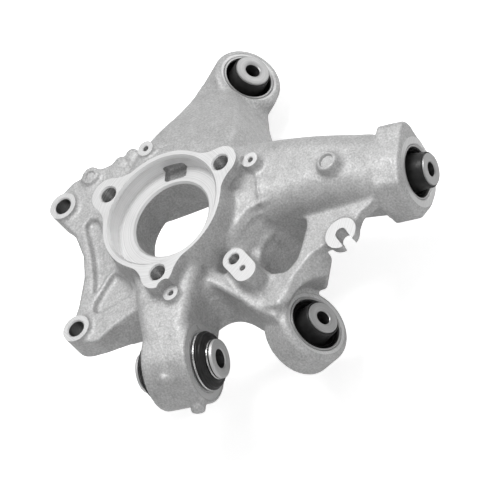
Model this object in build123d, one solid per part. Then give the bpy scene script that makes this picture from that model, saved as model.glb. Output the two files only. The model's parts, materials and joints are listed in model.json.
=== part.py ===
from build123d import *
import math
import os

# A rear steering knuckle: one aluminium casting that carries a wheel hub on a three-bolt
# flange, two caliper ears, three bonded rubber bushes and one cross-axis ball joint.
# The origin is the centre of the hub bore on the flange face. +Z is the wheel axis and
# points outboard, and +Y runs through one of the three flange bolts. Sizes are millimetres.
# Places are given as (fore, up, z): forward and upward on the car, and outboard.

# Directions on the car, as angles in the flange plane
fore_angle = 60.0
up_angle = 150.0

# Hub flange, bore and barrel
bolt_circle_d = 125.0
bolt_count = 3
bolt_first_angle = 90.0
bolt_hole_d = 14.0
bolt_depth = 34.0
bolt_boss_r = 14.5
flange_t = 11.0
flange_ring_r = 56.5
lobe_r = 15.5
lobe_blend_r = 26.0
bore_d = 102.0
bore_lip = 2.0
shelf_depth = 16.0
through_d = 70.0
through_chamfer = 1.6
barrel_top_r = 57.5
barrel_foot_r = 64.0
barrel_depth = 47.0

# The wheel-speed sensor's window in the top of the bore wall
sensor_w = 21.0
sensor_h = 8.5
sensor_z = -14.5
sensor_reach = 57.0

# Level of the web's outboard face, and its thickness
web_z = -45.0
web_t = 10.0

# The toe arm: places along it, and its (up, z) outline at each of them
toe_arm_places = (42, 82, 128, 184)
toe_arm_outlines = (
    ((-16, -17), (68, -17), (68, -90), (-16, -90)),
    ((-13, -18), (65, -18), (65, -90), (-13, -90)),
    ((-11.5, -17), (57, -19), (57, -85), (-11.5, -83)),
    ((-14, -33), (50, -33), (50, -92), (-14, -92)),
)
toe_arm_corner_r = 24.0

# The flared root under the toe arm: levels, and its (fore, up) outline at each of them
arm_root_levels = (-94, -56, -38, -22)
arm_root_outlines = (
    ((40, -44), (56, -42), (68, -32), (76, -20), (84, -10), (96, -6), (96, 20), (40, 20)),
    ((40, -50), (58, -48), (72, -38), (77, -25), (86, -13), (110, -11), (110, 20), (40, 20)),
    ((40, -44), (54, -42), (66, -32), (72, -20), (82, -8), (106, -5), (106, 20), (40, 20)),
    ((40, -34), (50, -32), (58, -25), (64, -15), (72, -8), (90, -4), (90, 20), (40, 20)),
)
arm_root_corner_r = 3.0

# The top arm: places up it, and its (fore, z) outline at each of them
top_arm_places = (38, 85, 130, 190)
top_arm_outlines = (
    ((-60, -15), (44, -15), (54, -48), (9, -59), (-60, -71)),
    ((-40, -22), (42, -32), (54, -84), (8, -104), (-42, -68)),
    ((-30, -48), (27, -60), (33, -112), (2, -124), (-34, -84)),
    ((-28, -88), (-6, -97), (14, -125), (0, -138), (-36, -104)),
)
top_arm_corner_r = 7.0

# The lower neck: places up it, and its (fore, z) outline at each of them
neck_places = (-45, -82, -122)
neck_outlines = (
    ((-34, -12), (34, -12), (34, -62), (-34, -62)),
    ((-28, -14), (22, -16), (22, -70), (-28, -70)),
    ((-22, -21), (17, -21), (17, -88), (-22, -88)),
)
neck_corner_r = 8.0

# The web and its window as (fore, up) outlines
web_outline = ((42, 10), (177, 0), (177, -18), (165, -26), (158, -50), (133, -48), (121, -53), (106, -69),
               (98, -82), (94, -96), (60, -88), (42, -60))
window_outline = ((102, -12), (112, -14), (114, -22), (110, -43), (106, -56), (96, -63), (84, -61), (71, -50),
                  (73, -30), (84, -12))
web_corner_r = 4.0
window_corner_r = 3.5

# The crest along the web's lower edge, with the wall under it: (up, z) outlines along the car
crest_places = (10, 34, 60, 88)
crest_outlines = (
    ((-50, -24), (-38, -24), (-38, -76), (-88, -80), (-60, -44)),
    ((-66, -31), (-50, -31), (-46, -76), (-76, -82), (-69, -44)),
    ((-85, -40), (-69, -40), (-66, -80), (-94, -84), (-88, -52)),
    ((-104, -50), (-88, -50), (-84, -84), (-112, -88), (-107, -62)),
)
crest_corner_r = 5.0

# The wall that slopes down from the web to the link bush's housing: (fore, up) outlines
skirt_levels = (-82, -64, -45.5)
skirt_outlines = (
    ((92, -68), (90, -100), (106, -92), (112, -78), (115, -64), (116, -54), (112, -46), (104, -52)),
    ((92, -68), (88, -98), (110, -92), (124, -71), (128, -60), (130, -48), (124, -40), (112, -48)),
    ((92, -68), (88, -92), (97, -90), (106, -69), (120, -53), (131, -47), (126, -38), (114, -46)),
)
skirt_corner_r = 3.0

# Lightening pockets in the toe arm's inboard side, with ribs between them
pocket_reaches = ((66.0, 92.0), (100.0, 126.0), (134.0, 158.0))
arm_pocket_low = 2.0
arm_pocket_high = 42.0
arm_pocket_z = -45.0
pocket_corner_r = 8.0

# Caliper ears
ear_face_z = -19.0
ear_spots = ((-111.0, 48.0), (-88.5, -81.0))
ear_boss_d = 25.0
ear_hole_d = 14.5
ear_boss_length = 27.0
bracket_z = -23.0
bracket_t = 25.0
bracket_corner_r = 7.0
bracket_rim = ((-88, -93), (-99, -82), (-91, -58), (-87.5, -28), (-90, -6), (-100, 18), (-123, 44), (-118, 62),
               (-105, 73), (-82, 78), (-48, 84), (0, 70))
bracket_brow = ((0, -60), (-24, -74), (-42, -80), (-54, -86), (-70, -98))
bracket_foot = ((0, -90), (-24, -91), (-42, -92), (-55, -92), (-72, -93))
pocket_outlines = (
    ((-90, 24), (-87, 29.5), (-79, 28), (-71, 14), (-58, 4), (-56, -26), (-65, -32.5), (-77, -52), (-77, -33),
     (-81, -8)),
    ((-58, -31), (-75, -58), (-75, -67), (-68, -68), (-41, -59), (-38, -53), (-46, -41)),
)
pocket_depth = 5.0
pocket_edge_r = 2.0

# Dust-shield screw bosses: places of their faces
shield_spots = ((77.8, 32.2, -9.0), (8.0, -79.0, -10.5), (-31.0, 80.3, -16.0))
shield_boss_d = 14.0
shield_boss_length = 24.0
shield_hole_d = 4.6
shield_hole_depth = 14.0

# Draft of the cast bosses: how much their radius grows towards their foot
boss_spread = 3.5
pip_spread = 2.0

# Small cast bosses: the dimpled locating boss, two ejector pips and the cupped clamping boss
locator_spot = (-87.0, 72.6, -19.5)
locator_d = 16.0
locator_length = 20.0
locator_dimple_d = 8.0
locator_dimple_depth = 2.0
pip_spots = ((-48.8, 83.6, -21.0), (-60.5, 79.5, -22.0))
pip_d = 11.0
pip_length = 12.0
cup_spot = (149.0, 13.0, -13.0)
cup_d = 18.0
cup_length = 20.0
cup_recess_d = 12.5
cup_recess_depth = 3.0

# Brake-hose pad, its thread and its locating hole
pad_spot = (64.0, -58.5, -25.0)
pad_angle = -52.0
pad_length = 40.0
pad_w = 21.0
pad_height = 26.0
hose_thread_d = 10.0
hose_thread_depth = 18.0
hose_pin_d = 5.2
hose_pin_depth = 10.0
hose_pin_offset = 15.0
hose_thread_offset = 9.5

# The open cable clip on the web's edge
clip_spot = (150.3, -42.5)
clip_angle = -57.0
clip_outer_r = 14.5
clip_slot_w = 8.0
clip_face_z = -42.0
clip_t = 9.0

# Bonded bushes: centre, axis, outer sleeve, inner sleeve and housing
bush_wall = 2.0
bush_bore_d = 12.2
sleeve_gap = 0.05
sleeve_chamfer = 0.8

# The bushes' rubber: how far its skirt and its rim stop short of the sleeves' ends, the depth
# of the groove round it, and its walls as shares of the room between the sleeves
rubber_skirt_back = 4.5
rubber_rim_back = 1.5
groove_share = 0.65
skirt_wall_share = 0.26
skirt_foot_share = 0.42
rim_foot_share = 0.32
rim_wall_share = 0.20

camber_centre = (-2.0, 188.0, -110.0)
camber_axis = (0.776, 0.098, 0.623)
camber_outer_d = 43.6
camber_length = 37.0
camber_sleeve_d = 29.0
camber_sleeve_length = 57.0
camber_housing_d = 59.0
camber_housing_bevel = 2.5

toe_centre = (193.0, 16.4, -65.1)
toe_axis = (0.9986, -0.047, -0.027)
toe_outer_d = 47.0
toe_length = 28.0
toe_sleeve_d = 27.4
toe_sleeve_length = 54.0
toe_housing_d = 58.0
toe_housing_corner_r = 7.0
toe_housing_back = 3.0
toe_housing_outline = ((33, 32), (21, 35), (-22, 23), (-31, 0), (-27, -18), (-15, -37), (8, -38), (27, -27),
                       (34, -5))
toe_face_d = 61.0
toe_face_height = 1.0

link_centre = (94.2, -96.3, -87.5)
link_axis = (0.9016, 0.029, 0.4323)
link_outer_d = 49.7
link_length = 28.5
link_sleeve_d = 28.0
link_sleeve_length = 51.0
link_housing_d = 67.0
link_housing_bevel = 4.0
link_face_d = 63.0

# Cross-axis ball joint
joint_centre = (-4.0, -121.4, -55.0)
joint_axis = (0.9976, -0.054, -0.043)
joint_housing_d = 70.0
joint_housing_w = 42.0
joint_pips = ((-2.5, -0.77, 0.63, 9.0, 3.5), (11.0, -0.96, -0.28, 12.0, 8.5))
shell_d = 52.0
shell_bore_d = 47.0
shell_collar_d = 45.0
shell_collar_bore_d = 39.0
shell_collar_length = 4.2
race_half_w = 13.0
ball_d = 42.0
ball_neck_d = 25.0
ball_groove_d = 28.0
ball_end_d = 33.0
ball_bore_d = 16.2
ball_sleeve_length = 72.5
ball_gap = 0.05
boot_wall = 2.2
ring_t = 1.3
large_ring_w = 2.6
small_ring_w = 2.2
ring_gap = 0.05


def car(fore, up, z=0.0):
    """A point or direction given by its forward, upward and outboard parts."""
    a = math.radians(fore_angle)
    b = math.radians(up_angle)
    return Vector(fore * math.cos(a) + up * math.cos(b), fore * math.sin(a) + up * math.sin(b), z)


FORE = car(1, 0)
UP = car(0, 1)


def level(z):
    """The plane parallel to the flange at z, with forward as its X and up as its Y."""
    return Plane(origin=(0, 0, z), x_dir=FORE, z_dir=(0, 0, 1))


def across_fore(fore):
    """The plane square to the forward direction, with up as its X and outboard as its Y."""
    return Plane(origin=car(fore, 0), x_dir=UP, z_dir=FORE)


def across_up(up):
    """The plane square to the up direction, with forward as its X and outboard as its Y."""
    return Plane(origin=car(0, up), x_dir=FORE, z_dir=UP * -1)


def axis_plane(centre, axis):
    """The plane through a joint's centre, square to its axis."""
    return Plane(origin=car(*centre), x_dir=(0, 0, 1), z_dir=car(*axis))


def rounded(points, radius):
    """A closed outline through the points, with rounded corners."""
    return make_face(FilletPolyline(*points, radius=radius, close=True))


def rod(plane, diameter, low, high):
    """A plain cylinder between two heights on a plane's axis."""
    return plane.offset(low) * extrude(Circle(diameter / 2), high - low)


def limb(planes, outlines, radius, straight=False):
    """A cast arm that runs through rounded outlines, one on each plane."""
    return loft([p * rounded(o, radius) for p, o in zip(planes, outlines)], ruled=straight)


def post(spot, diameter, length, spread=0.0):
    """A round boss that ends at the spot and runs inboard from it, wider at its foot by the spread."""
    fore, up, z = spot
    if spread:
        return level(z) * Pos(fore, up) * Cone(diameter / 2 + spread, diameter / 2, length,
                                               align=(Align.CENTER, Align.CENTER, Align.MAX))
    return level(z) * Pos(fore, up) * extrude(Circle(diameter / 2), -length)


def turned(plane, profile):
    """A ring turned about a plane's axis from (radius, height) points."""
    half = Plane(origin=plane.origin, x_dir=plane.x_dir, z_dir=plane.y_dir * -1)
    face = half * make_face(Polyline(*profile, close=True))
    return revolve(face, Axis(plane.origin, plane.z_dir))


def bush_housing(plane, diameter, length, bevel):
    """A round housing for a bush, with a bevelled outboard edge."""
    r = diameter / 2
    half = length / 2
    return turned(plane, ((0, -half), (r, -half), (r, half - bevel), (r - bevel, half), (0, half)))


def bolt_places():
    """The three flange bolt places."""
    return PolarLocations(bolt_circle_d / 2, bolt_count, start_angle=bolt_first_angle)


def hub():
    """The lobed flange on its tapered barrel, with a boss behind each bolt."""
    outline = Circle(flange_ring_r)
    for place in bolt_places():
        outline += place * Circle(lobe_r)
    outline = fillet(outline.vertices(), lobe_blend_r)
    body = extrude(outline, -flange_t)
    body += Pos(0, 0, -barrel_depth) * Cone(barrel_foot_r, barrel_top_r, barrel_depth - 2,
                                            align=(Align.CENTER, Align.CENTER, Align.MIN))
    for place in bolt_places():
        body += place * extrude(Circle(bolt_boss_r), -bolt_depth - 5)
    return body


def toe_arm():
    """The half-round arm that runs forward to the toe bush's squared housing."""
    arm = limb([across_fore(f) for f in toe_arm_places], toe_arm_outlines, toe_arm_corner_r)
    arm += limb([level(z) for z in arm_root_levels], arm_root_outlines, arm_root_corner_r, straight=True)
    for low, high in pocket_reaches:
        pocket = rounded(((low, arm_pocket_low), (high, arm_pocket_low), (high, arm_pocket_high),
                          (low, arm_pocket_high)), pocket_corner_r)
        arm -= extrude(level(-100) * pocket, arm_pocket_z + 100)
    plane = axis_plane(toe_centre, toe_axis)
    squared = rounded([(r, -up) for r, up in toe_housing_outline], toe_housing_corner_r)
    arm += plane.offset(toe_housing_back - toe_length / 2) * extrude(squared, toe_length - toe_housing_back)
    arm += rod(plane, toe_housing_d, -toe_length / 2, 0)
    face = squared & Circle(toe_face_d / 2)
    arm += plane * extrude(face, toe_length / 2 + toe_face_height)
    return arm


def top_arm():
    """The arm that leans inboard to the camber bush, with a ridge between its two faces."""
    arm = limb([across_up(u) for u in top_arm_places], top_arm_outlines, top_arm_corner_r)
    plane = axis_plane(camber_centre, camber_axis)
    return arm + bush_housing(plane, camber_housing_d, camber_length, camber_housing_bevel)


def lower_neck():
    """The short neck down to the round housing of the ball joint, with two cast pips."""
    neck = limb([across_up(u) for u in neck_places], neck_outlines, neck_corner_r)
    plane = axis_plane(joint_centre, joint_axis)
    neck += rod(plane, joint_housing_d, -joint_housing_w / 2, joint_housing_w / 2)
    r = joint_housing_d / 2
    for along, up, z, diameter, proud in joint_pips:
        tip = car(*joint_centre) + car(along, up * (r + proud), z * (r + proud))
        side = Plane(origin=tip, x_dir=FORE, z_dir=car(0, up, z))
        neck += side * Cone(diameter / 2 + pip_spread, diameter / 2, 8 + proud,
                            align=(Align.CENTER, Align.CENTER, Align.MAX))
    return neck


def link_arm():
    """The web with its window, the crest along its lower edge, and the link bush's housing."""
    arm = extrude(level(web_z) * rounded(web_outline, web_corner_r), -web_t)
    arm -= extrude(level(web_z + 1) * rounded(window_outline, window_corner_r), -web_t - 2)
    arm += limb([across_fore(f) for f in crest_places], crest_outlines, crest_corner_r)
    arm += limb([level(z) for z in skirt_levels], skirt_outlines, skirt_corner_r, straight=True)
    plane = axis_plane(link_centre, link_axis)
    arm += bush_housing(plane, link_housing_d, link_length, link_housing_bevel)
    return arm - rod(plane, link_face_d, link_length / 2, link_length * 2.5)


def caliper_bracket():
    """The pocketed plate with a concave outer rim between the two caliper ears."""
    planes = [level(bracket_z - bracket_t), level(bracket_z)]
    outlines = [bracket_rim + bracket_foot, bracket_rim + bracket_brow]
    plate = limb(planes, outlines, bracket_corner_r, straight=True)
    for outline in pocket_outlines:
        plate -= extrude(level(bracket_z + 1) * rounded(outline, pocket_edge_r), -pocket_depth - 1)
    for fore, up in ear_spots:
        plate += post((fore, up, ear_face_z), ear_boss_d, ear_boss_length)
    return plate


def small_bosses():
    """The screw bosses, the locating boss, the pips, the cupped boss and the hose pad."""
    bosses = [post(spot, shield_boss_d, shield_boss_length, boss_spread) for spot in shield_spots]
    bosses.append(post(locator_spot, locator_d, locator_length, boss_spread))
    bosses += [post(spot, pip_d, pip_length, pip_spread) for spot in pip_spots]
    bosses.append(post(cup_spot, cup_d, cup_length, boss_spread + pip_spread))
    fore, up, z = pad_spot
    slot = Rot(0, 0, pad_angle) * SlotOverall(pad_length, pad_w)
    bosses.append(level(z) * Pos(fore, up) * extrude(slot, -pad_height))
    return bosses


def cable_clip():
    """The open hook that holds a cable, with its slot facing forward and down."""
    ring = Circle(clip_outer_r)
    ring -= Circle(clip_slot_w / 2)
    ring -= Pos(clip_outer_r / 2 + 2, 0) * Rectangle(clip_outer_r + 4, clip_slot_w)
    return level(clip_face_z) * Pos(*clip_spot) * Rot(0, 0, clip_angle) * extrude(ring, -clip_t)


def clip_clearance():
    """The space that the cable needs in the clip and out of its mouth."""
    space = Circle(clip_slot_w / 2) + Pos(clip_outer_r, 0) * Rectangle(clip_outer_r * 2, clip_slot_w)
    return level(clip_face_z + 1) * Pos(*clip_spot) * Rot(0, 0, clip_angle) * extrude(space, -30)


def knuckle_casting():
    """The whole casting, with its machined bores, holes and faces cut last."""
    body = hub()
    for limb_body in (toe_arm(), top_arm(), lower_neck(), link_arm(), caliper_bracket(), cable_clip()):
        body += limb_body
    for boss in small_bosses():
        body += boss
    body -= clip_clearance()

    bore = extrude(Circle(bore_d / 2), -shelf_depth)
    bore += Cone(bore_d / 2, bore_d / 2 + bore_lip, bore_lip, align=(Align.CENTER, Align.CENTER, Align.MAX))
    bore += Pos(0, 0, -shelf_depth) * Cone(through_d / 2, through_d / 2 + through_chamfer, through_chamfer,
                                           align=(Align.CENTER, Align.CENTER, Align.MAX))
    bore += extrude(Circle(through_d / 2), -160)
    body -= bore
    body -= level(sensor_z - sensor_h / 2) * Pos(1, sensor_reach / 2) * extrude(
        Rectangle(sensor_w, sensor_reach), sensor_h)
    for place in bolt_places():
        body -= place * extrude(Circle(bolt_hole_d / 2), -bolt_depth)
    for centre, axis, diameter, length in (
            (toe_centre, toe_axis, toe_outer_d, toe_length),
            (camber_centre, camber_axis, camber_outer_d, camber_length),
            (link_centre, link_axis, link_outer_d, link_length),
            (joint_centre, joint_axis, shell_d, joint_housing_w)):
        body -= rod(axis_plane(centre, axis), diameter, -length, length)
    for fore, up in ear_spots:
        body -= post((fore, up, ear_face_z + 1), ear_hole_d, 40)
    for spot in shield_spots:
        body -= post(spot, shield_hole_d, shield_hole_depth)
    body -= post(locator_spot, locator_dimple_d, locator_dimple_depth)
    body -= post(cup_spot, cup_recess_d, cup_recess_depth)
    fore, up, z = pad_spot
    a = math.radians(pad_angle)
    for along, diameter, depth in ((-hose_thread_offset, hose_thread_d, hose_thread_depth),
                                   (hose_pin_offset - hose_thread_offset, hose_pin_d, hose_pin_depth)):
        body -= post((fore + along * math.cos(a), up + along * math.sin(a), z), diameter, depth)
    return body


def bonded_bush(name, centre, axis, outer_d, length, sleeve_d, sleeve_length):
    """An outer steel sleeve, the rubber bonded in it, and the thick inner sleeve."""
    plane = axis_plane(centre, axis)
    half = length / 2
    end = sleeve_length / 2
    r_out = outer_d / 2
    r_rubber = r_out - bush_wall
    r_sleeve = sleeve_d / 2
    r_bore = bush_bore_d / 2
    r_in = r_sleeve + sleeve_gap
    outer = turned(plane, ((r_rubber, -half), (r_out, -half), (r_out, half), (r_rubber, half)))
    room = r_rubber - r_in
    waist = half * (1 - groove_share)
    rise = end - rubber_skirt_back
    rim = half - rubber_rim_back
    side = [(r_in, rise), (r_in + skirt_wall_share * room, rise), (r_in + skirt_foot_share * room, waist),
            (r_rubber - rim_foot_share * room, waist), (r_rubber - rim_wall_share * room, rim), (r_rubber, rim)]
    mirrored = [(r, -h) for r, h in reversed(side)]
    rubber = turned(plane, side + mirrored)
    c = sleeve_chamfer
    inner = turned(plane, ((r_bore, -end + c), (r_bore + c, -end), (r_sleeve - c, -end), (r_sleeve, -end + c),
                           (r_sleeve, end - c), (r_sleeve - c, end), (r_bore + c, end), (r_bore, end - c)))
    return {name + "_outer_sleeve": outer, name + "_rubber": rubber, name + "_inner_sleeve": inner}


def ball_joint():
    """The cross-axis ball joint: shell, race, ball sleeve, boots and their clamp rings."""
    plane = axis_plane(joint_centre, joint_axis)
    half = joint_housing_w / 2
    r_shell = shell_d / 2
    r_bore = shell_bore_d / 2
    r_collar = shell_collar_d / 2
    r_mouth = shell_collar_bore_d / 2
    tip = half + shell_collar_length
    lip = race_half_w
    shell = turned(plane, ((r_bore, -lip), (r_mouth, -lip - 2), (r_mouth, -tip), (r_collar, -tip),
                           (r_collar, -half), (r_shell, -half), (r_shell, half), (r_collar, half),
                           (r_collar, tip), (r_mouth + 1.2, tip), (r_mouth + 1.2, lip + 3.2), (r_bore, lip + 3.2)))
    closing_ring = turned(plane, ((r_mouth, lip), (r_bore, lip), (r_bore, lip + 3), (r_mouth, lip + 3)))
    seat = Sphere(ball_d / 2 + ball_gap)
    race = turned(plane, ((8, -lip), (r_bore, -lip), (r_bore, lip), (8, lip))) - plane * seat
    end = ball_sleeve_length / 2
    r_end = ball_end_d / 2
    r_groove = ball_groove_d / 2
    r_neck = ball_neck_d / 2
    r_hole = ball_bore_d / 2
    ball = turned(plane, ((r_hole, -end + 1), (r_hole + 1, -end), (r_end - 0.8, -end), (r_end, -end + 0.8),
                          (r_end, -end + 2.6), (r_groove, -end + 2.6), (r_groove, -end + 6.4),
                          (r_neck, -end + 12), (r_neck, end - 12), (r_groove, end - 6.4), (r_groove, end - 2.6),
                          (r_end, end - 2.6), (r_end, end - 0.8), (r_end - 0.8, end), (r_hole + 1, end),
                          (r_hole, end - 1)))
    ball += plane * Sphere(ball_d / 2) - rod(plane, ball_bore_d + 2, -end, end)

    pieces = {"joint_shell": shell, "closing_ring": closing_ring, "ball_race": race, "ball_sleeve": ball}
    t = boot_wall
    root = half + 0.6
    lip_z = end - 6.0
    for side, sign in (("front", 1), ("rear", -1)):
        outline = ((r_collar, root), (r_collar + t - 0.6, root), (r_collar + t - 0.6, root + 3.4),
                   (r_collar + t, root + 3.9), (r_collar + t - 0.2, root + 4.8),
                   (r_collar + t - 1.6, root + 5.4), (r_collar + t - 1.0, root + 6.6),
                   (r_collar + t - 2.0, lip_z - 1.0), (r_groove + 4.8, lip_z),
                   (r_groove + 2.0, lip_z + 0.2), (r_groove + 2.0, lip_z + 3.0), (r_groove + 0.1, lip_z + 3.0),
                   (r_groove + 0.1, lip_z - 1.2), (r_collar - 2.6, lip_z - 2.2), (r_collar - 1.6, root + 5.2),
                   (r_collar, root + 3.8))
        boot = turned(plane, [(r, sign * z) for r, z in outline])
        large_low = root + 0.6
        small_low = lip_z + 0.4
        r_large = r_collar + t - 0.6
        r_small = r_groove + 2.0 + ring_gap
        large = turned(plane, [(r, sign * z) for r, z in (
            (r_large, large_low), (r_large + ring_t, large_low), (r_large + ring_t, large_low + large_ring_w),
            (r_large, large_low + large_ring_w))])
        small = turned(plane, [(r, sign * z) for r, z in (
            (r_small, small_low), (r_small + ring_t, small_low), (r_small + ring_t, small_low + small_ring_w),
            (r_small, small_low + small_ring_w))])
        pieces[side + "_boot"] = boot
        pieces[side + "_large_ring"] = large
        pieces[side + "_small_ring"] = small
    return pieces


nodes = {"knuckle_casting": knuckle_casting()}
nodes.update(bonded_bush("camber_bush", camber_centre, camber_axis, camber_outer_d, camber_length,
                         camber_sleeve_d, camber_sleeve_length))
nodes.update(bonded_bush("toe_bush", toe_centre, toe_axis, toe_outer_d, toe_length,
                         toe_sleeve_d, toe_sleeve_length))
nodes.update(bonded_bush("link_bush", link_centre, link_axis, link_outer_d, link_length,
                         link_sleeve_d, link_sleeve_length))
nodes.update(ball_joint())

os.makedirs("parts", exist_ok=True)
for name, shape in nodes.items():
    export_step(shape, f"parts/{name}.step")
    print(name, len(shape.solids()), round(shape.volume / 1000, 1), "cm3")
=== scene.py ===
import json
import math

import bmesh
import bpy
from mathutils import Matrix, Vector

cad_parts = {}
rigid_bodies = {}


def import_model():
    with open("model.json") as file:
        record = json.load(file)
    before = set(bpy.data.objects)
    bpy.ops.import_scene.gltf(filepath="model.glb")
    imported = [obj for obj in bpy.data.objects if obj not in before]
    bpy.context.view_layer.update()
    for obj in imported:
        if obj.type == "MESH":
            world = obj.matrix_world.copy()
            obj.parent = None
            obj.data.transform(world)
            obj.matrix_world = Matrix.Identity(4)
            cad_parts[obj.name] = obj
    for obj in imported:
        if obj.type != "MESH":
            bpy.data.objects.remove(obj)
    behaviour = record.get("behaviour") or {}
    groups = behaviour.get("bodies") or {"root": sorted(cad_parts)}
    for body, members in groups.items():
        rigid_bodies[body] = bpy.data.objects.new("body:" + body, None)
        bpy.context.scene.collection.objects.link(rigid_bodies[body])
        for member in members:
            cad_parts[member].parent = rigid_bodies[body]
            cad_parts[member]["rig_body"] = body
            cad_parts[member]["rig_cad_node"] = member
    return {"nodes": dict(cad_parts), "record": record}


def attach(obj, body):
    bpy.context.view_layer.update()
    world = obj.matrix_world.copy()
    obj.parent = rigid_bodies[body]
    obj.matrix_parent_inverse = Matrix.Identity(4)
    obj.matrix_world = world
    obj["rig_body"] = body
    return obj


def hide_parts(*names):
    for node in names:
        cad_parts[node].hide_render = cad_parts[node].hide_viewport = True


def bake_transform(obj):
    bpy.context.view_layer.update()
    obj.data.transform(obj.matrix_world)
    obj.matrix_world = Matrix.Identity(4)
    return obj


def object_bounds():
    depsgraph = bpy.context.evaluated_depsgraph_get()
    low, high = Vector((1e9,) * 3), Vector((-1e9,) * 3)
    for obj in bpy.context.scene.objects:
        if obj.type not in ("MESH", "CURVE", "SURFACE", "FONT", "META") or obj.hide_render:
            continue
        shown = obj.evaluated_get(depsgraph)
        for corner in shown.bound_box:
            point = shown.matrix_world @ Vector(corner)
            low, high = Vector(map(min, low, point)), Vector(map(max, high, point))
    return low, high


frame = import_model()
cad_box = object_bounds()
bpy.ops.object.select_all(action="DESELECT")

# Studio. The knuckle floats over a pale floor, as on a catalogue page, and is seen from outboard
# and a little below the wheel axis. One large soft lamp stands up and to the left of the camera.
view_back = Vector((0.7101, 0.1150, 0.6947))
view_right = Vector((0.3770, 0.7711, -0.5131))
view_up = Vector((-0.5947, 0.6262, 0.5042))
aim = Vector((0.0400, 0.0346, -0.0466))
camera_distance = 16.0
lens_per_metre = 90.75
surround_strength = 0.42
floor_width, floor_gap = 8, 0.004
floor_grey, floor_glow = 0.78, 0.66

bpy.ops.object.camera_add()
camera = bpy.context.object
camera.matrix_world = Matrix.Translation(aim + view_back * camera_distance) @ Matrix(
    (view_right, view_up, view_back)).transposed().to_4x4()
camera.data.lens = lens_per_metre * camera_distance
bpy.context.scene.camera = camera
bpy.context.scene.view_settings.view_transform = "Standard"


def soft_lamp(name, right, up, back, size, power):
    """A square area lamp that stands in the camera's directions from the object and faces it."""
    place = aim + view_right * right + view_up * up + view_back * back
    bpy.ops.object.light_add(type="AREA", location=place)
    lamp = bpy.context.object
    lamp.name = name
    lamp.rotation_euler = (aim - place).to_track_quat("-Z", "Y").to_euler()
    lamp.data.shape = "SQUARE"
    lamp.data.size = size
    lamp.data.energy = power


soft_lamp("key_lamp", -0.75, 0.95, 0.75, 0.7, 14)
soft_lamp("top_lamp", 0.5, 1.1, -0.1, 0.7, 2.5)
soft_lamp("front_lamp", 0.2, -0.2, 1.6, 1.0, 3)

world = bpy.data.worlds.new("studio_air")
bpy.context.scene.world = world
world.use_nodes = True
air = world.node_tree
sight = air.nodes.new("ShaderNodeLightPath")
seen = air.nodes.new("ShaderNodeMath")
seen.operation = "MAXIMUM"
air.links.new(sight.outputs["Is Camera Ray"], seen.inputs[0])
air.links.new(sight.outputs["Is Transmission Ray"], seen.inputs[1])
strength = air.nodes.new("ShaderNodeMapRange")
strength.inputs["To Min"].default_value = surround_strength
strength.inputs["To Max"].default_value = 1.0
air.links.new(seen.outputs[0], strength.inputs["Value"])
air.links.new(strength.outputs["Result"], air.nodes["Background"].inputs["Strength"])
air.nodes["Background"].inputs["Color"].default_value = (1, 1, 1, 1)

bpy.ops.mesh.primitive_plane_add(size=floor_width, location=(0, 0, cad_box[0].z - floor_gap))
floor = bpy.context.object
floor.name = "studio_floor"
pale = bpy.data.materials.new("pale_paper")
pale.use_nodes = True
paper = pale.node_tree
matt = paper.nodes["Principled BSDF"]
matt.inputs["Base Color"].default_value = (floor_grey, floor_grey, floor_grey, 1)
matt.inputs["Roughness"].default_value = 0.9
matt.inputs["Specular IOR Level"].default_value = 0.0
paper_glow = paper.nodes.new("ShaderNodeEmission")
paper_sight = paper.nodes.new("ShaderNodeLightPath")
glow_share = paper.nodes.new("ShaderNodeMath")
glow_share.operation = "MULTIPLY"
glow_share.inputs[1].default_value = floor_glow
paper.links.new(paper_sight.outputs["Is Camera Ray"], glow_share.inputs[0])
paper.links.new(glow_share.outputs[0], paper_glow.inputs["Strength"])
both = paper.nodes.new("ShaderNodeAddShader")
paper.links.new(matt.outputs[0], both.inputs[0])
paper.links.new(paper_glow.outputs[0], both.inputs[1])
paper.links.new(both.outputs[0], paper.nodes["Material Output"].inputs["Surface"])
floor.data.materials.append(pale)


# Knuckle casting. One aluminium casting, shot-blasted to a fine grey grain. As in the foundry,
# it is first a rounded blank with its holes closed and stock on its faces, and is then machined.
upward = Vector((0, 0, 1))
stock = 0.003
mounts = {m["name"]: m for m in frame["record"]["mounts"]}
car_turn = math.radians(60)
forward = Vector((math.cos(car_turn), math.sin(car_turn), 0))
up_the_car = Vector((-forward.y, forward.x, 0))


def on_car(fore, up, z):
    """A point given in metres forward, upward and outboard on the car."""
    return forward * fore + up_the_car * up + upward * z


def mount_place(name):
    """A mount's centre and its axis."""
    return Vector(mounts[name]["pos_m"]), Vector(mounts[name]["axis"])


def turn_to(axis):
    """The rotation that turns +Z to an axis."""
    return axis.to_track_quat("Z", "Y").to_euler()


def rod(name, centre, axis, radius, low, high, sides=64):
    """A closed round bar along an axis, between two heights from a centre."""
    bpy.ops.mesh.primitive_cylinder_add(vertices=sides, radius=radius, depth=high - low,
                                        rotation=turn_to(axis), location=centre + axis * (low + high) / 2)
    bar = bpy.context.object
    bar.name = name
    return bar


def choose(obj):
    """Makes an object the only selected and the active one."""
    bpy.ops.object.select_all(action="DESELECT")
    obj.select_set(True)
    bpy.context.view_layer.objects.active = obj


def apply_modifier(obj, kind, **settings):
    """Adds a modifier with its settings and applies it."""
    choose(obj)
    modifier = obj.modifiers.new(kind.lower(), kind)
    for key, value in settings.items():
        setattr(modifier, key, value)
    bpy.ops.object.modifier_apply(modifier=modifier.name)


def join_all(objects):
    """Joins objects into the first, with its place kept in its mesh."""
    bpy.ops.object.select_all(action="DESELECT")
    for piece in objects:
        piece.select_set(True)
    bpy.context.view_layer.objects.active = objects[0]
    if len(objects) > 1:
        bpy.ops.object.join()
    bpy.ops.object.transform_apply(location=True, rotation=True, scale=True)
    return objects[0]


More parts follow.
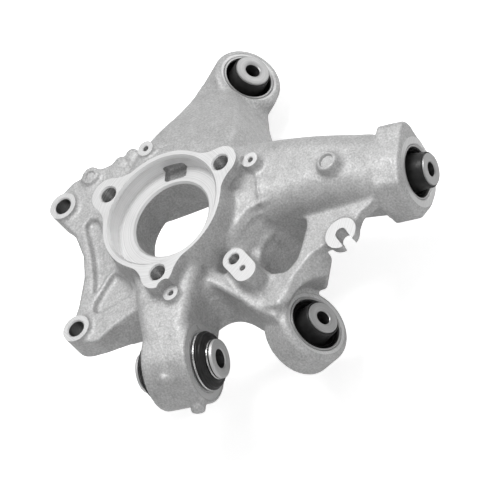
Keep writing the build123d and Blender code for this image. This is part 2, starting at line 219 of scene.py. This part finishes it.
def raise_faces(obj, spots, height):
    """Raises the flat outboard faces that lie at the spots' levels, near each spot."""
    choose(obj)
    bpy.ops.object.mode_set(mode="EDIT")
    bpy.ops.mesh.select_mode(type="FACE")
    bpy.ops.mesh.select_all(action="DESELECT")
    mesh = bmesh.from_edit_mesh(obj.data)
    for face in mesh.faces:
        centre = face.calc_center_median()
        for spot, reach in spots:
            near = (centre.xy - spot.xy).length < reach and abs(centre.z - spot.z) < 2e-5
            if near and face.normal.z > 0.999:
                face.select_set(True)
    bmesh.update_edit_mesh(obj.data)
    bpy.ops.mesh.extrude_region_move(TRANSFORM_OT_translate={"value": (0, 0, height)})
    bpy.ops.object.mode_set(mode="OBJECT")


def turned_reach(node, centre, axis):
    """A turned CAD piece's least and greatest radius, and lowest and highest end, about an axis."""
    radii, heights = [], []
    for point in frame["nodes"][node].data.vertices:
        offset = point.co - centre
        heights.append(offset.dot(axis))
        radii.append((offset - axis * heights[-1]).length)
    return min(radii), max(radii), min(heights), max(heights)


choose(frame["nodes"]["knuckle_casting"])
bpy.ops.object.duplicate()
casting = bpy.context.object
casting.name = "cast_knuckle"
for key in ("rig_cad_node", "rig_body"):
    del casting[key]
casting.parent = None
casting.data.materials.clear()
bpy.ops.object.mode_set(mode="EDIT")
bpy.ops.mesh.select_all(action="SELECT")
bpy.ops.mesh.remove_doubles(threshold=1e-5)
bpy.ops.object.mode_set(mode="OBJECT")

hub_centre = Vector((0, 0, 0))
bolt_circle_radius = 0.0625
bolt_turns = [math.radians(degrees) for degrees in (90, 210, 330)]
flange_bolts = [Vector((math.cos(a), math.sin(a), 0)) * bolt_circle_radius for a in bolt_turns]
bore_radius, bore_lip, shelf_depth = 0.051, 0.002, 0.016
through_radius, barrel_depth = 0.035, 0.047
mount_sink = 0.001
ears = [mount_place(name)[0] + upward * mounts[name]["dims"]["length_mm"] / 2000
        for name in ("caliper_bolt_upper", "caliper_bolt_lower")]
screw_bosses = [mount_place(f"shield_screw_{i}")[0] + upward * mount_sink for i in (1, 2, 3)]
hose_thread = mount_place("hose_bracket_thread")[0] + upward * mount_sink
hose_pin = mount_place("hose_bracket_pin")[0] + upward * mount_sink
pad_spot = on_car(0.064, -0.0585, -0.025)
clip_spot = on_car(0.1503, -0.0425, -0.042)
faced_spots = [(hub_centre, 0.09), (pad_spot, 0.02), (clip_spot, 0.02)]
faced_spots += [(ear, 0.014) for ear in ears] + [(boss, 0.008) for boss in screw_bosses]
raise_faces(casting, faced_spots, stock)

joint_housing_half = 0.021
housings = []
for mount, sleeve, rim, stand, back in (("camber_link_bore", "camber_bush_outer_sleeve", 0.0030, 0, True),
                                        ("toe_link_bore", "toe_bush_outer_sleeve", 0.0064, 0.001, False),
                                        ("lower_link_bore", "link_bush_outer_sleeve", 0.0036, 0, True),
                                        ("ball_joint_bore", "joint_shell", 0.0062, 0, True)):
    centre, axis = mount_place(mount)
    reach = turned_reach(sleeve, centre, axis)
    half = joint_housing_half if sleeve == "joint_shell" else reach[3]
    housings.append((centre, axis, reach[1], half, reach[1] + rim, stand, back))

plugs = [casting]
plugs.append(rod("bore_plug", hub_centre, upward, bore_radius + bore_lip + 0.0012, -0.018, stock, 96))
plugs.append(rod("through_plug", hub_centre, upward, through_radius + 0.003, -barrel_depth, -0.01, 96))
for name, spots, plug_radius, plug_depth, sides in (("bolt_plug", flange_bolts, 0.0078, 0.036, 64),
                                                    ("ear_plug", ears, 0.008, 0.026, 64),
                                                    ("screw_plug", screw_bosses, 0.0029, 0.016, 32),
                                                    ("pad_plug", [hose_thread], 0.0056, 0.02, 32),
                                                    ("pad_plug", [hose_pin], 0.0032, 0.02, 32)):
    for spot in spots:
        plugs.append(rod(name, spot, upward, plug_radius, -plug_depth, stock, sides))
for centre, axis, bore, half, rim, stand, back in housings:
    plugs.append(rod("housing_plug", centre, axis, bore + 0.001, -half, half + stand, 96))
casting = join_all(plugs)
casting.name = "cast_knuckle"

grain = 0.0010
smoothing_rounds = 12
kept_triangles = 0.29
least_blend = 0.12
largest_blend = 0.011
blend_fade = 1.4
flange_depth, flange_reach = 0.013, 0.082
blend_spots = [
    (on_car(0.066, 0.000, -0.050), 0.055, 1.0),
    (on_car(0.075, -0.040, -0.060), 0.040, 0.8),
    (on_car(0.030, -0.085, -0.050), 0.045, 1.0),
    (on_car(0.000, 0.080, -0.055), 0.060, 1.0),
    (on_car(-0.010, -0.085, -0.045), 0.045, 0.8),
    (on_car(-0.002, 0.165, -0.105), 0.040, 0.9),
    (on_car(0.165, 0.015, -0.060), 0.045, 0.9),
    (on_car(0.060, -0.075, -0.050), 0.030, 0.6),
    (on_car(0.100, -0.085, -0.060), 0.030, 0.6),
]


def weigh_blends(obj):
    """Weights each point by the cast blends' size there: full at the arms' roots, least on the flange."""
    group = obj.vertex_groups.get("blend") or obj.vertex_groups.new(name="blend")
    for point in obj.data.vertices:
        place = point.co
        weight = least_blend
        for spot, reach, size in blend_spots:
            share = max(0.0, min(1.0, blend_fade - blend_fade * (place - spot).length / reach))
            weight = max(weight, size * share)
        if place.xy.length < flange_reach:
            depth = min(1.0, max(0.0, (-place.z - flange_depth) / flange_depth))
            weight = least_blend + (weight - least_blend) * depth
        group.add([point.index], weight, "REPLACE")


def grow(obj, distance):
    """Moves the skin out or in by a distance times its weight, and gives it one even mesh again."""
    weigh_blends(obj)
    apply_modifier(obj, "DISPLACE", strength=distance, mid_level=0.0, vertex_group="blend")
    apply_modifier(obj, "REMESH", mode="VOXEL", voxel_size=grain, use_smooth_shade=True)


apply_modifier(casting, "REMESH", mode="VOXEL", voxel_size=grain, use_smooth_shade=True)
grow(casting, largest_blend)
grow(casting, -largest_blend)
apply_modifier(casting, "SMOOTH", factor=0.5, iterations=smoothing_rounds)
apply_modifier(casting, "DECIMATE", ratio=kept_triangles)


def shader(name, colour, metallic, roughness):
    """A new material with one shader, and its node tree."""
    material = bpy.data.materials.new(name)
    material.use_nodes = True
    tree = material.node_tree
    surface = tree.nodes["Principled BSDF"]
    surface.inputs["Base Color"].default_value = (*colour, 1)
    surface.inputs["Metallic"].default_value = metallic
    surface.inputs["Roughness"].default_value = roughness
    return material, tree, surface


def speckle(tree, scale, detail=3.0):
    """A noise over the piece's own coordinates, with about so many spots to a metre."""
    place = tree.nodes.new("ShaderNodeTexCoord")
    noise = tree.nodes.new("ShaderNodeTexNoise")
    noise.inputs["Scale"].default_value = scale
    noise.inputs["Detail"].default_value = detail
    tree.links.new(place.outputs["Object"], noise.inputs["Vector"])
    return noise.outputs["Fac"]


def spread(tree, value, low, high, target, start=0.3, end=0.7):
    """Turns a noise into a span of numbers or greys, and sends it to a socket."""
    span = tree.nodes.new("ShaderNodeMapRange")
    span.inputs["From Min"].default_value = start
    span.inputs["From Max"].default_value = end
    span.inputs["To Min"].default_value = low
    span.inputs["To Max"].default_value = high
    tree.links.new(value, span.inputs["Value"])
    tree.links.new(span.outputs["Result"], target)
    return span


def roughen(tree, surface, value, depth, before=None):
    """Raises and sinks the surface by a pattern, over any pattern before it."""
    bump = tree.nodes.new("ShaderNodeBump")
    bump.inputs["Distance"].default_value = depth
    tree.links.new(value, bump.inputs["Height"])
    if before:
        tree.links.new(before.outputs["Normal"], bump.inputs["Normal"])
    tree.links.new(bump.outputs["Normal"], surface.inputs["Normal"])
    return bump


blasted, tree, surface = shader("blasted_aluminium", (0.5, 0.5, 0.5), 0.45, 0.55)
tone = tree.nodes.new("ShaderNodeMath")
tone.operation = "MULTIPLY"
spread(tree, speckle(tree, 90, 6), 0.46, 0.54, tone.inputs[0])
spread(tree, speckle(tree, 620), 0.78, 1.20, tone.inputs[1])
tree.links.new(tone.outputs[0], surface.inputs["Base Color"])
spread(tree, speckle(tree, 260), 0.50, 0.66, surface.inputs["Roughness"])
pitting = roughen(tree, surface, speckle(tree, 900, 2), 0.00022)
roughen(tree, surface, speckle(tree, 140, 2), 0.0005, pitting)


def lathe_rings(tree, centre, axis, spacing):
    """Irregular fine rings about an axis, as a turning or milling tool leaves on faces and walls."""
    place = tree.nodes.new("ShaderNodeTexCoord")
    offset = tree.nodes.new("ShaderNodeVectorMath")
    offset.operation = "SUBTRACT"
    offset.inputs[1].default_value = centre
    tree.links.new(place.outputs["Object"], offset.inputs[0])
    across = tree.nodes.new("ShaderNodeVectorMath")
    across.operation = "CROSS_PRODUCT"
    across.inputs[1].default_value = axis
    tree.links.new(offset.outputs["Vector"], across.inputs[0])
    radius = tree.nodes.new("ShaderNodeVectorMath")
    radius.operation = "LENGTH"
    tree.links.new(across.outputs["Vector"], radius.inputs[0])
    height = tree.nodes.new("ShaderNodeVectorMath")
    height.operation = "DOT_PRODUCT"
    height.inputs[1].default_value = axis
    tree.links.new(offset.outputs["Vector"], height.inputs[0])
    total = tree.nodes.new("ShaderNodeMath")
    total.operation = "ADD"
    tree.links.new(radius.outputs["Value"], total.inputs[0])
    tree.links.new(height.outputs["Value"], total.inputs[1])
    rings = tree.nodes.new("ShaderNodeTexNoise")
    rings.noise_dimensions = "1D"
    rings.inputs["Scale"].default_value = 1 / spacing
    rings.inputs["Detail"].default_value = 2
    tree.links.new(total.outputs["Value"], rings.inputs["W"])
    return rings.outputs["Fac"]


def turned_metal(name, low, high, metallic, roughness, centre, axis, spacing):
    """Metal turned about an axis: rings in its tone, gloss and surface, and faint stains over them."""
    material, tree, surface = shader(name, (high, high, high), metallic, roughness)
    rings = lathe_rings(tree, centre, axis, spacing)
    spread(tree, rings, low, high, surface.inputs["Base Color"])
    spread(tree, speckle(tree, 120), roughness - 0.06, roughness + 0.08, surface.inputs["Roughness"])
    roughen(tree, surface, rings, 0.00006)
    return material


tool_feed = 0.0009
bored = turned_metal("machined_aluminium", 0.60, 0.74, 0.6, 0.48, hub_centre, upward, tool_feed)
# The hub bore's wall gets a copy of the machined finish with a brighter base colour, a painted highlight,
# and a lower roughness.
bore_wall_painted_highlight = turned_metal("bore_wall_aluminium_painted_highlight", 0.78, 0.92, 0.5, 0.38, hub_centre, upward, tool_feed)
# The threads of the tapped and drilled holes get a darker copy of the machined finish: painted shade for
# the depth of the holes.
thread_painted_shade = turned_metal("cut_thread_painted_shade", 0.20, 0.40, 0.9, 0.3, hub_centre, upward, tool_feed)
casting.data.materials.append(blasted)
casting.data.materials.append(bored)
casting.data.materials.append(thread_painted_shade)
casting.data.materials.append(bore_wall_painted_highlight)


def turn(name, centre, axis, profile, sides=96):
    """Draws a profile of (radius, height) points by extruding one point, and spins it about an axis."""
    bpy.ops.mesh.primitive_plane_add(size=0.01)
    part = bpy.context.object
    part.name = name
    bpy.ops.object.mode_set(mode="EDIT")
    bpy.ops.mesh.select_mode(type="VERT")
    bpy.ops.mesh.select_all(action="SELECT")
    bpy.ops.mesh.merge(type="CENTER")
    last = Vector((0, 0, 0))
    for step, (radius, height) in enumerate(profile):
        point = Vector((radius, 0, height))
        if step:
            bpy.ops.mesh.extrude_vertices_move(TRANSFORM_OT_translate={"value": point - last})
        else:
            bpy.ops.transform.translate(value=point)
        last = point
    bpy.ops.mesh.select_all(action="SELECT")
    bpy.ops.mesh.spin(steps=sides, angle=2 * math.pi, center=(0, 0, 0), axis=(0, 0, 1))
    bpy.ops.mesh.select_all(action="SELECT")
    bpy.ops.mesh.remove_doubles(threshold=1e-6)
    bpy.ops.mesh.normals_make_consistent(inside=False)
    bpy.ops.object.mode_set(mode="OBJECT")
    part.rotation_euler = turn_to(axis)
    part.location = centre
    return part


def machine(obj, tools, material=1):
    """Cuts the casting with tools that don't touch each other, and gives the cuts their own material."""
    for tool in tools:
        tool.data.materials.clear()
        for finish in obj.data.materials:
            tool.data.materials.append(finish)
        tool.data.polygons.foreach_set("material_index", [material] * len(tool.data.polygons))
    tool = join_all(tools)
    apply_modifier(obj, "BOOLEAN", operation="DIFFERENCE", solver="MANIFOLD", object=tool)
    bpy.data.objects.remove(tool)


cut_above = 0.012


def drill(name, mouth, radius, depth, chamfer, pitch=0.0, sides=64):
    """A drill, or a tap where it has a pitch: a chamfer at the mouth, threads, and a coned bottom."""
    profile = [(0, cut_above), (radius + chamfer, cut_above), (radius + chamfer, 0), (radius, -chamfer)]
    if pitch:
        for groove in range(int((depth - 2 * chamfer) / pitch)):
            top = -chamfer - groove * pitch
            profile += [(radius + 0.5 * pitch, top - 0.45 * pitch), (radius, top - 0.9 * pitch)]
    profile += [(radius, -depth), (0, -depth - radius * 0.55)]
    return turn(name, mouth, upward, profile, sides)


flange_facing_radius, ear_facing_radius = 0.088, 0.0138
pad_facing_radius, clip_facing_radius = 0.0215, 0.0165
boss_facing_radius, boss_cut_above = 0.0074, 0.018
facings = [rod("flange_facing", hub_centre, upward, flange_facing_radius, 0, cut_above, 96)]
for ear in ears:
    facings.append(rod("ear_facing", ear, upward, ear_facing_radius, 0, cut_above))
facings.append(rod("pad_facing", pad_spot, upward, pad_facing_radius, 0, cut_above))
facings.append(rod("clip_facing", clip_spot, upward, clip_facing_radius, 0, cut_above))
machine(casting, facings)
machine(casting, [rod("boss_facing", boss, upward, boss_facing_radius, 0, boss_cut_above)
                  for boss in screw_bosses])

shelf_bevel, bore_reach = 0.0016, 0.16
machine(casting, [turn("bore_tool", hub_centre, upward, (
    (0, cut_above), (bore_radius + bore_lip + cut_above, cut_above), (bore_radius + bore_lip, 0),
    (bore_radius, -bore_lip), (bore_radius, -shelf_depth), (through_radius + shelf_bevel, -shelf_depth),
    (through_radius, -shelf_depth - shelf_bevel), (through_radius, -bore_reach), (0, -bore_reach)), 160)])

drills = [drill("flange_tap", bolt, 0.007, 0.034, chamfer=0.0012, pitch=0.002) for bolt in flange_bolts]
drills += [drill("ear_drill", ear, 0.00725, 0.04, chamfer=0.0010) for ear in ears]
drills += [drill("screw_tap", boss, 0.0023, 0.014, chamfer=0.0007, pitch=0.0010, sides=32)
           for boss in screw_bosses]
drills.append(drill("hose_tap", hose_thread, 0.0050, 0.018, chamfer=0.0008, pitch=0.0015, sides=48))
machine(casting, drills)
machine(casting, [drill("pin_drill", hose_pin, 0.0026, 0.010, chamfer=0.0005, sides=32)])

facing_depth, face_chamfer, past_face = 0.0004, 0.0008, 0.006
bores = []
for centre, axis, bore, half, rim, stand, back in housings:
    face = half + stand - facing_depth
    profile = [(0, face + past_face), (rim, face + past_face), (rim, face), (bore + face_chamfer, face),
               (bore, face - face_chamfer)]
    if back:
        profile += [(bore, face_chamfer - half + facing_depth), (bore + face_chamfer, facing_depth - half),
                    (rim, facing_depth - half), (rim, -half - past_face), (0, -half - past_face)]
    else:
        profile += [(bore, -2 * half), (0, -2 * half)]
    bores.append(turn("housing_tool", centre, axis, profile))
machine(casting, bores)

slot_turn = math.radians(60 - 57)  # the car's turn, less the slot's slope below forward
slot_radius, slot_reach, slot_height = 0.0050, 0.03, 0.04
bpy.ops.mesh.primitive_cylinder_add(vertices=32, radius=slot_radius, depth=slot_height,
                                    location=clip_spot, rotation=(0, 0, slot_turn))
slot_tool = bpy.context.object
bpy.ops.object.mode_set(mode="EDIT")
mesh = bmesh.from_edit_mesh(slot_tool.data)
for point in mesh.verts:
    point.select_set(point.co.x > slot_radius / 20)
mesh.select_flush_mode()
bmesh.update_edit_mesh(slot_tool.data)
bpy.ops.transform.translate(value=(slot_reach, 0, 0), orient_type="LOCAL")
bpy.ops.object.mode_set(mode="OBJECT")
window_spot, window_size, window_corner = on_car(0.001, 0.0482, -0.0165), (0.021, 0.0176, 0.0125), 0.003
bpy.ops.mesh.primitive_cube_add(size=1, location=window_spot, rotation=(0, 0, car_turn), scale=window_size)
window_tool = bpy.context.object
bpy.ops.object.transform_apply(location=True, rotation=True, scale=True)
apply_modifier(window_tool, "BEVEL", width=window_corner, segments=4)
machine(casting, [slot_tool, window_tool], 0)


def dish(name, spot, reach, rim, bottom, depth):
    """Skims the end of a cast boss, with its dish sunk in it."""
    skim, rim_bevel = 0.0006, 0.0005
    profile = ((0, cut_above), (reach, cut_above), (reach, -skim), (rim, -skim),
               (rim - rim_bevel, -skim - rim_bevel), (bottom, -depth), (0, -depth))
    return turn(name, spot, upward, profile, 64)


cup_spot, locator_spot = on_car(0.149, 0.013, -0.013), on_car(-0.087, 0.0726, -0.0195)
cup_dish = dish("cup_dish", cup_spot, reach=0.0098, rim=0.0068, bottom=0.0056, depth=0.0030)
locator_dish = dish("locator_dish", locator_spot, reach=0.0088, rim=0.0046, bottom=0.0036, depth=0.0022)
machine(casting, [cup_dish, locator_dish], 0)

boss_reach, boss_rise = 0.0078, 0.0002
core_reach, core_level = through_radius + 0.0012, -shelf_depth - 0.005
steep_below = 0.7
# Hole mouths, reaches and chamfers: machined faces below a chamfer inside them take the darker thread
# copy, painted shade in the holes.
taps = [(bolt, 0.0082, 0.0013) for bolt in flange_bolts] + [(ear, 0.0080, 0.0011) for ear in ears]
taps += [(boss, 0.0030, 0.0008) for boss in screw_bosses] + [(hose_thread, 0.0058, 0.0009)]
for face in casting.data.polygons:
    if face.material_index == 1:
        for mouth, reach, chamfer in taps:
            if (face.center.xy - mouth.xy).length < reach and face.center.z < mouth.z - chamfer:
                face.material_index = 2
        beside_boss = any((face.center.xy - boss.xy).length < boss_reach
                          and face.center.z > boss.z + boss_rise for boss in screw_bosses)
        cored = face.center.xy.length < core_reach and face.center.z < core_level
        steep = abs(face.normal.z) < steep_below
        if beside_boss or (cored and steep):
            face.material_index = 0
        # Steep faces in the hub bore above its shelf take that brighter copy: a painted highlight.
        elif steep and face.center.xy.length < bore_radius + bore_lip and face.center.z > -shelf_depth:
            face.material_index = 3
choose(casting)
crease_angle = math.radians(38)
bpy.ops.object.shade_smooth_by_angle(angle=crease_angle)
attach(casting, "knuckle")
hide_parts("knuckle_casting")


# Bonded bushes. Three of them join the knuckle to its links. Each is a steel sleeve pressed into its
# housing, black rubber moulded and bonded inside it, and a thick turned sleeve for the link's bolt.
def finish_piece(piece, name, material, body, node, smooth=35):
    """Settles a finished piece: its place, its material, its body and the CAD node it stands for."""
    join_all([piece])
    piece.name = name
    piece.data.materials.clear()
    piece.data.materials.append(material)
    choose(piece)
    bpy.ops.object.shade_smooth_by_angle(angle=math.radians(smooth))
    if body:
        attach(piece, body)
    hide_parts(node)


def mirrored(side):
    """A ring's closed profile from its outboard side, with the inboard side as its mirror image."""
    profile = side + [(radius, -height) for radius, height in reversed(side)]
    return profile + profile[:1]


# A near-black colour for the bolt bores of the turned sleeves and the ball sleeve.
dark_bore_colour, tree, surface = shader("dark_bolt_bore", (0.05, 0.05, 0.05), 0.7, 0.45)
spread(tree, speckle(tree, 300), 0.035, 0.075, surface.inputs["Base Color"])
spread(tree, speckle(tree, 500), 0.38, 0.54, surface.inputs["Roughness"])


def darken_bolt_bore(piece, centre, axis, radius, end):
    """Gives a sleeve's bolt bore, inside its chamfers, a near-black colour that its ends don't have."""
    piece.data.materials.append(dark_bore_colour)
    for face in piece.data.polygons:
        offset = face.center - centre
        height = offset.dot(axis)
        if abs(height) < end and (offset - axis * height).length < radius:
            face.material_index = 1


rubber_black, tree, surface = shader("bush_rubber", (0.010, 0.010, 0.010), 0.0, 0.5)
surface.inputs["Specular IOR Level"].default_value = 0.35
spread(tree, speckle(tree, 160, 4), 0.007, 0.020, surface.inputs["Base Color"])
spread(tree, speckle(tree, 420), 0.34, 0.50, surface.inputs["Roughness"])
roughen(tree, surface, speckle(tree, 1500, 2), 0.00008)

turning_gap, skirt_back, rim_back = 0.00005, 0.0012, 0.0015
bolt_chamfer, sleeve_edge, pressed_edge = 0.0010, 0.0006, 0.0004
black_reach, lathe_feed = 0.0002, 0.0006
for bush, mount in (("camber_bush", "camber_link_bore"), ("toe_bush", "toe_link_bore"),
                    ("link_bush", "lower_link_bore")):
    centre, axis = mount_place(mount)
    shell_bore, shell_radius, low, half = turned_reach(bush + "_outer_sleeve", centre, axis)
    bolt_radius, sleeve_radius, low, end = turned_reach(bush + "_inner_sleeve", centre, axis)
    plated = turned_metal(bush + "_steel", 0.38, 0.50, 0.75, 0.42, centre, axis, lathe_feed)

    pressed = turn("pressed_sleeve", centre, axis, mirrored([
        (shell_bore, half - pressed_edge), (shell_bore + pressed_edge, half),
        (shell_radius - pressed_edge, half), (shell_radius, half - 2 * pressed_edge)]), 128)
    finish_piece(pressed, bush + "_pressed_sleeve", plated, "knuckle", bush + "_outer_sleeve")

    inner = sleeve_radius + turning_gap
    room = shell_bore - inner
    skirt = end - skirt_back
    rim = half - rim_back
    folds = [(0.06, skirt), (0.16, skirt - 0.0003), (0.20, skirt - 0.0016),
             (0.24, rim + 0.30 * (skirt - rim)), (0.30, rim - 0.0018), (0.40, 0.50 * half),
             (0.48, 0.38 * half), (0.55, 0.50 * half), (0.60, 0.80 * half), (0.66, 0.85 * half),
             (0.71, 0.78 * half), (0.76, 0.62 * half), (0.82, 0.72 * half), (0.86, rim - 0.0008),
             (0.90, rim - 0.0001)]
    folded = [(inner + share * room, height) for share, height in folds]
    rubber = turn("moulded_rubber", centre, axis,
                  mirrored([(inner, skirt - 0.0004)] + folded + [(shell_bore, rim)]), 96)
    apply_modifier(rubber, "SUBSURF", levels=1, render_levels=1)
    finish_piece(rubber, bush + "_moulded_rubber", rubber_black, "knuckle", bush + "_rubber",
                 60)

    sleeve = turn("turned_sleeve", centre, axis, mirrored([
        (bolt_radius, end - bolt_chamfer), (bolt_radius + 0.3 * bolt_chamfer, end - 0.45 * bolt_chamfer),
        (bolt_radius + bolt_chamfer, end), (sleeve_radius - sleeve_edge, end),
        (sleeve_radius - 0.3 * sleeve_edge, end - 0.3 * sleeve_edge),
        (sleeve_radius, end - sleeve_edge)]), 96)
    finish_piece(sleeve, bush + "_turned_sleeve", plated, bush.replace("_bush", "_sleeve"),
                 bush + "_inner_sleeve")
    darken_bolt_bore(sleeve, centre, axis, bolt_radius + black_reach, end - bolt_chamfer)


# Cross-axis ball joint. A bored ball sleeve turns in a plastic race, in a steel shell pressed into the
# knuckle and closed by a ring. Two folded rubber boots seal it, each held by two rings of spring wire.
centre, axis = mount_place("ball_joint_bore")
axis = -axis  # it now points out through the front boot
joint_steel = turned_metal("joint_steel", 0.58, 0.74, 0.65, 0.42, centre, axis, lathe_feed)
race_white, tree, surface = shader("race_plastic", (0.78, 0.78, 0.74), 0.0, 0.4)
spread(tree, speckle(tree, 200), 0.70, 0.80, surface.inputs["Base Color"])
spread(tree, speckle(tree, 700), 0.34, 0.5, surface.inputs["Roughness"])
roughen(tree, surface, lathe_rings(tree, centre, axis, 0.0005), 0.00004)
for node, material in (("joint_shell", joint_steel), ("closing_ring", joint_steel),
                       ("ball_race", race_white)):
    frame["nodes"][node].data.materials.clear()
    frame["nodes"][node].data.materials.append(material)

bolt_radius, ball_radius, low, end = turned_reach("ball_sleeve", centre, axis)
rim_radius, groove_radius, neck_radius = 0.0165, 0.014, 0.0125
neck_end, groove_end, mouth_chamfer = end - 0.012, end - 0.0064, 0.0010
neck_turn, arc_steps = math.acos(neck_radius / ball_radius), 12
arc_turns = [neck_turn * step / arc_steps for step in range(arc_steps, 0, -1)]
ball_arc = [(ball_radius * math.cos(a), ball_radius * math.sin(a)) for a in arc_turns]
ball = turn("ball_sleeve", centre, axis, mirrored([
    (bolt_radius, end - mouth_chamfer), (bolt_radius + 0.0004, end - 0.0004), (bolt_radius + 0.0011, end),
    (rim_radius - 0.0008, end), (rim_radius - 0.0002, end - 0.0003), (rim_radius, end - 0.0009),
    (rim_radius, end - 0.0026), (groove_radius, end - 0.0028), (groove_radius, groove_end),
    (neck_radius, neck_end)] + ball_arc + [(ball_radius, 0.0)]), 96)
finish_piece(ball, "bored_ball_sleeve", joint_steel, "ball_sleeve", "ball_sleeve")
darken_bolt_bore(ball, centre, axis, bolt_radius + black_reach, end - mouth_chamfer)

boot_black, tree, surface = shader("boot_rubber", (0.012, 0.012, 0.012), 0.0, 0.34)
surface.inputs["Specular IOR Level"].default_value = 0.35
spread(tree, speckle(tree, 140, 4), 0.007, 0.018, surface.inputs["Base Color"])
spread(tree, speckle(tree, 500), 0.28, 0.44, surface.inputs["Roughness"])
roughen(tree, surface, speckle(tree, 1300, 2), 0.00005)
spring_steel, tree, surface = shader("spring_wire", (0.75, 0.75, 0.75), 1.0, 0.22)
spread(tree, speckle(tree, 900), 0.66, 0.80, surface.inputs["Base Color"])
spread(tree, speckle(tree, 300), 0.18, 0.30, surface.inputs["Roughness"])
roughen(tree, surface, speckle(tree, 1800, 2), 0.00002)

# A boot's closed outline in millimetres: radius, and height from the ball's centre.
boot_profile = [(22.5, 21.6), (24.3, 21.6), (24.6, 21.8), (24.6, 22.1), (24.1, 22.3), (24.1, 24.9),
                (24.8, 25.1), (24.9, 25.6), (24.7, 26.3), (23.7, 26.9), (23.1, 27.3), (23.1, 27.9),
                (23.3, 28.4), (22.8, 29.1), (21.4, 29.5), (19.9, 29.4), (19.0, 29.8), (18.2, 30.3),
                (16.4, 30.4), (16.0, 30.6), (16.0, 33.2), (15.7, 33.4), (14.1, 33.4), (14.1, 29.2),
                (16.5, 28.9), (19.9, 28.2), (21.2, 27.0), (22.4, 25.6)]


def spring_ring(name, floor_radius, low, width, side):
    """Two turns of round wire, wound close in a boot's groove."""
    turns, steps = 2, 160
    wire = width / (turns + 1)
    bpy.ops.mesh.primitive_circle_add(vertices=16, radius=wire / 2, rotation=(math.pi / 2, 0, 0),
                                      location=(floor_radius + wire / 2, 0, side * (low + wire / 2)))
    ring = bpy.context.object
    bpy.ops.object.transform_apply(location=True, rotation=True, scale=True)
    apply_modifier(ring, "SCREW", angle=turns * 2 * math.pi, screw_offset=side * turns * wire,
                   steps=steps, render_steps=steps)
    bpy.ops.object.mode_set(mode="EDIT")
    bpy.ops.mesh.select_all(action="SELECT")
    bpy.ops.mesh.fill_holes(sides=0)
    bpy.ops.mesh.normals_make_consistent(inside=False)
    bpy.ops.object.mode_set(mode="OBJECT")
    ring.rotation_euler = turn_to(axis)
    ring.location = centre
    return ring


for end_name, side in (("front", 1), ("rear", -1)):
    profile = [(radius / 1000, side * height / 1000) for radius, height in boot_profile]
    boot = turn("folded_boot", centre, axis, profile + profile[:1], 128)
    apply_modifier(boot, "SUBSURF", levels=1, render_levels=1)
    finish_piece(boot, end_name + "_folded_boot", boot_black, None, end_name + "_boot", 60)
    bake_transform(boot)
    for size, floor_radius, low, width, body in (("large", 0.0241, 0.0222, 0.0026, "knuckle"),
                                                 ("small", 0.01605, 0.03065, 0.0022, "boot_rings")):
        ring = spring_ring(size, floor_radius, low, width, side)
        finish_piece(ring, f"{end_name}_{size}_spring_ring", spring_steel, body, f"{end_name}_{size}_ring",
                     60)
